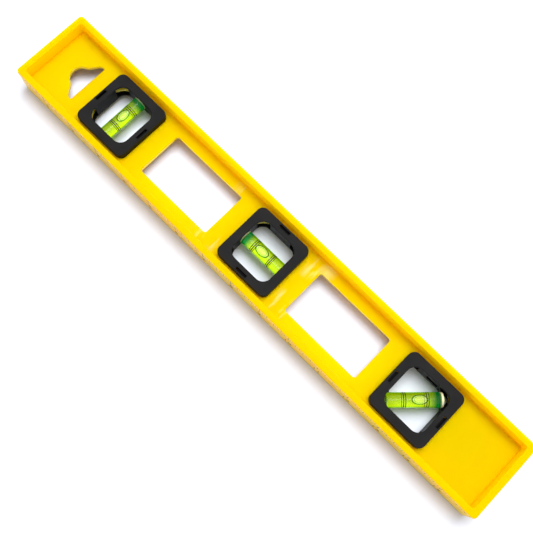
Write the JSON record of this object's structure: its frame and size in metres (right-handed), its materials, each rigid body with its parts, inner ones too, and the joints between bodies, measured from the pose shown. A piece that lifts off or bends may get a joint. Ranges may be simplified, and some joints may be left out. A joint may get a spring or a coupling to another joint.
{
  "type": "spirit level",
  "caption": "Moulded I-beam spirit level with hand windows, a hang hole, and level, plumb and 45 degree vials in snap-in black bezels.",
  "frame": {"origin": "middle of the back face's rectangle, at the level of the back rim", "axes": "+Z out of the front face, +X along the beam from the hang hole to the 45 degree vial, +Y across the beam"},
  "size_m": [0.406, 0.0584, 0.024],
  "materials": {
    "body": "gloss",
    "bezel": "satin",
    "vial": "clear",
    "plug": "satin",
    "ring": "matte",
    "spirit": "clear",
    "bubble": "clear"
  },
  "bodies": {
    "frame": {"body": "body", "plumb_front_bezel": "bezel", "plumb_rear_bezel": "bezel", "plumb_vial_tube": "vial", "plumb_vial_plug": "plug", "plumb_ring_marks": "ring", "plumb_liquid": "spirit", "level_front_bezel": "bezel", "level_rear_bezel": "bezel", "level_vial_tube": "vial", "level_vial_plug": "plug", "level_ring_marks": "ring", "level_liquid": "spirit", "angle_front_bezel": "bezel", "angle_rear_bezel": "bezel", "angle_vial_tube": "vial", "angle_vial_plug": "plug", "angle_ring_marks": "ring", "angle_liquid": "spirit"},
    "plumb_float": {"plumb_bubble": "bubble"},
    "level_float": {"level_bubble": "bubble"},
    "angle_float": {"angle_bubble": "bubble"}
  },
  "joints": [
    {"name": "plumb_bubble_run", "type": "slide", "parent": "frame", "child": "plumb_float", "axis": [0, 1, 0], "range_m": [-0.0124, 0.0088], "stiffness_N_per_m": 0.2, "deforming": ["plumb_liquid"]},
    {"name": "level_bubble_run", "type": "slide", "parent": "frame", "child": "level_float", "axis": [1, 0, 0], "range_m": [-0.0088, 0.0124], "stiffness_N_per_m": 0.2, "deforming": ["level_liquid"]},
    {"name": "angle_bubble_run", "type": "slide", "parent": "frame", "child": "angle_float", "axis": [0.7071, 0.7071, 0], "range_m": [-0.014, 0.0072], "stiffness_N_per_m": 0.2, "deforming": ["angle_liquid"]}
  ]
}
